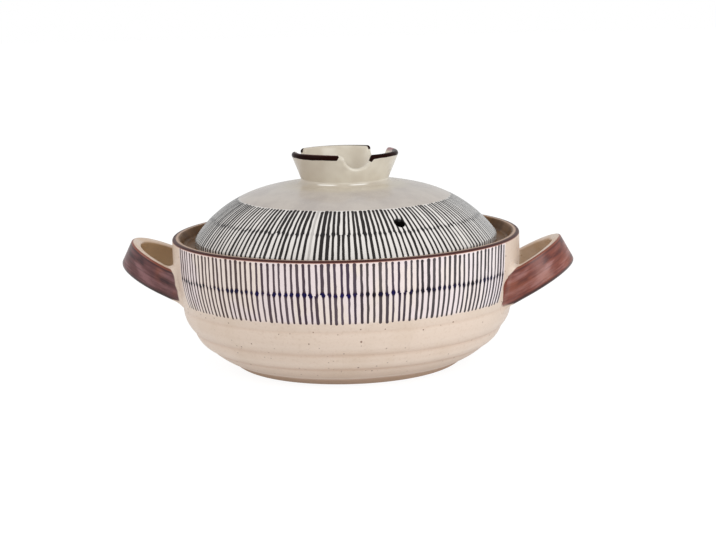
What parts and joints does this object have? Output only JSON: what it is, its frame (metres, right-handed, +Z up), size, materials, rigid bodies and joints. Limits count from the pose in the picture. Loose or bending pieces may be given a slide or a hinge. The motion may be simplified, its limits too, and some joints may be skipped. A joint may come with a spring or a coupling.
{
  "type": "donabe clay pot",
  "caption": "Lidded stoneware cooking pot with two strap handles, a domed lid with a steam hole and a notched ring knob.",
  "frame": {"origin": "centre of the resting face under the pot's foot", "axes": "+Z up along the pot's turning axis, +X through the right-hand handle, -Y towards the front"},
  "size_m": [0.326, 0.25, 0.1539],
  "materials": {
    "pot_glaze": "satin speckled beige glaze with fine dark brown upright stripes",
    "handle_glaze": "glossy streaked reddish-brown iron glaze with cream edges",
    "lid_glaze": "glossy greyish cream glaze with fine dark stripes round the edge",
    "knob_glaze": "glossy cream glaze with a dark brown rim"
  },
  "bodies": {
    "pot": {"pot_body": "pot_glaze", "handle_left": "handle_glaze", "handle_right": "handle_glaze"},
    "lid": {"lid_dome": "lid_glaze", "lid_knob": "knob_glaze"}
  },
  "joints": [
    {"name": "lid_lift", "type": "slide", "parent": "pot", "child": "lid", "axis": [0, 0, 1], "range_m": [0, 0.12]}
  ]
}
